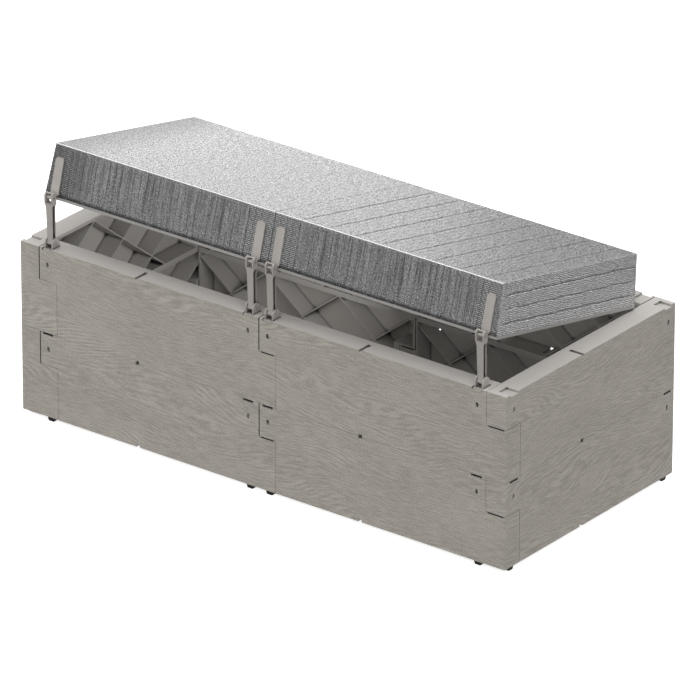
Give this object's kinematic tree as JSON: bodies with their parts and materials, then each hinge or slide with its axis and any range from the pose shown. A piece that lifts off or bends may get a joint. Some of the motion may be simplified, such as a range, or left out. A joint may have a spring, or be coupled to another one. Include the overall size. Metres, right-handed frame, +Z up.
{
  "type": "deck storage box",
  "caption": "Long outdoor storage box: interlocking wood-grain plastic wall panels, twin silver lids held open on support arms, hinged at the back.",
  "frame": {"origin": "on the ground under the centre of the box", "axes": "+X along the box to the right, +Y to the hinged back, +Z up"},
  "size_m": [1.5, 0.692, 0.7307],
  "materials": {
    "wall_plastic": "taupe wood-grain moulding",
    "floor_plastic": "dark taupe, plain moulding",
    "arm_plastic": "light taupe, satin",
    "lid_silver": "silver, finely embossed",
    "lid_frame_plastic": "light grey, satin",
    "foot_rubber": "black",
    "steel": "satin"
  },
  "bodies": {
    "root": {"back_left_lower_panel": "wall_plastic", "back_left_upper_panel": "wall_plastic", "back_right_lower_panel": "wall_plastic", "back_right_upper_panel": "wall_plastic", "bracket_pins": "steel", "feet": "foot_rubber", "front_left_inner_bracket": "arm_plastic", "front_left_lower_panel": "wall_plastic", "front_left_outer_bracket": "arm_plastic", "front_left_upper_panel": "wall_plastic", "front_right_inner_bracket": "arm_plastic", "front_right_lower_panel": "wall_plastic", "front_right_outer_bracket": "arm_plastic", "front_right_upper_panel": "wall_plastic", "hinge_pins": "steel", "left_floor": "floor_plastic", "left_lower_panel": "wall_plastic", "left_upper_panel": "wall_plastic", "rear_left_inner_arm": "arm_plastic", "rear_left_inner_bracket": "arm_plastic", "rear_left_outer_arm": "arm_plastic", "rear_left_outer_bracket": "arm_plastic", "rear_right_inner_arm": "arm_plastic", "rear_right_inner_bracket": "arm_plastic", "rear_right_outer_arm": "arm_plastic", "rear_right_outer_bracket": "arm_plastic", "right_floor": "floor_plastic", "right_lower_panel": "wall_plastic", "right_upper_panel": "wall_plastic"},
    "front_left_outer_prop": {"front_left_outer_arm": "arm_plastic", "front_left_outer_knuckle": "arm_plastic", "front_left_outer_pin": "steel"},
    "front_left_inner_prop": {"front_left_inner_arm": "arm_plastic", "front_left_inner_knuckle": "arm_plastic", "front_left_inner_pin": "steel"},
    "front_right_inner_prop": {"front_right_inner_arm": "arm_plastic", "front_right_inner_knuckle": "arm_plastic", "front_right_inner_pin": "steel"},
    "front_right_outer_prop": {"front_right_outer_arm": "arm_plastic", "front_right_outer_knuckle": "arm_plastic", "front_right_outer_pin": "steel"},
    "left_lid": {"front_left_inner_strap": "arm_plastic", "front_left_outer_strap": "arm_plastic", "left_lid_frame": "lid_frame_plastic", "left_lid_shell": "lid_silver", "rear_left_inner_strap": "arm_plastic", "rear_left_outer_strap": "arm_plastic"},
    "right_lid": {"front_right_inner_strap": "arm_plastic", "front_right_outer_strap": "arm_plastic", "rear_right_inner_strap": "arm_plastic", "rear_right_outer_strap": "arm_plastic", "right_lid_frame": "lid_frame_plastic", "right_lid_shell": "lid_silver"}
  },
  "joints": [
    {"name": "left_lid_hinge", "type": "hinge", "parent": "root", "child": "left_lid", "pos_m": [-0.35, 0.281, 0.598], "axis": [-1, 0, 0], "range_deg": [-12, 72]},
    {"name": "right_lid_hinge", "type": "hinge", "parent": "root", "child": "right_lid", "pos_m": [0.35, 0.281, 0.598], "axis": [-1, 0, 0], "range_deg": [-12, 72]},
    {"name": "front_left_outer_arm_hinge", "type": "hinge", "parent": "root", "child": "front_left_outer_prop", "pos_m": [-0.665, -0.327, 0.485], "axis": [1, 0, 0], "range_deg": [0, 95]},
    {"name": "front_left_inner_arm_hinge", "type": "hinge", "parent": "root", "child": "front_left_inner_prop", "pos_m": [-0.0345, -0.327, 0.485], "axis": [1, 0, 0], "range_deg": [0, 95]},
    {"name": "front_right_inner_arm_hinge", "type": "hinge", "parent": "root", "child": "front_right_inner_prop", "pos_m": [0.026, -0.327, 0.485], "axis": [1, 0, 0], "range_deg": [0, 95]},
    {"name": "front_right_outer_arm_hinge", "type": "hinge", "parent": "root", "child": "front_right_outer_prop", "pos_m": [0.663, -0.327, 0.485], "axis": [1, 0, 0], "range_deg": [0, 95]}
  ]
}
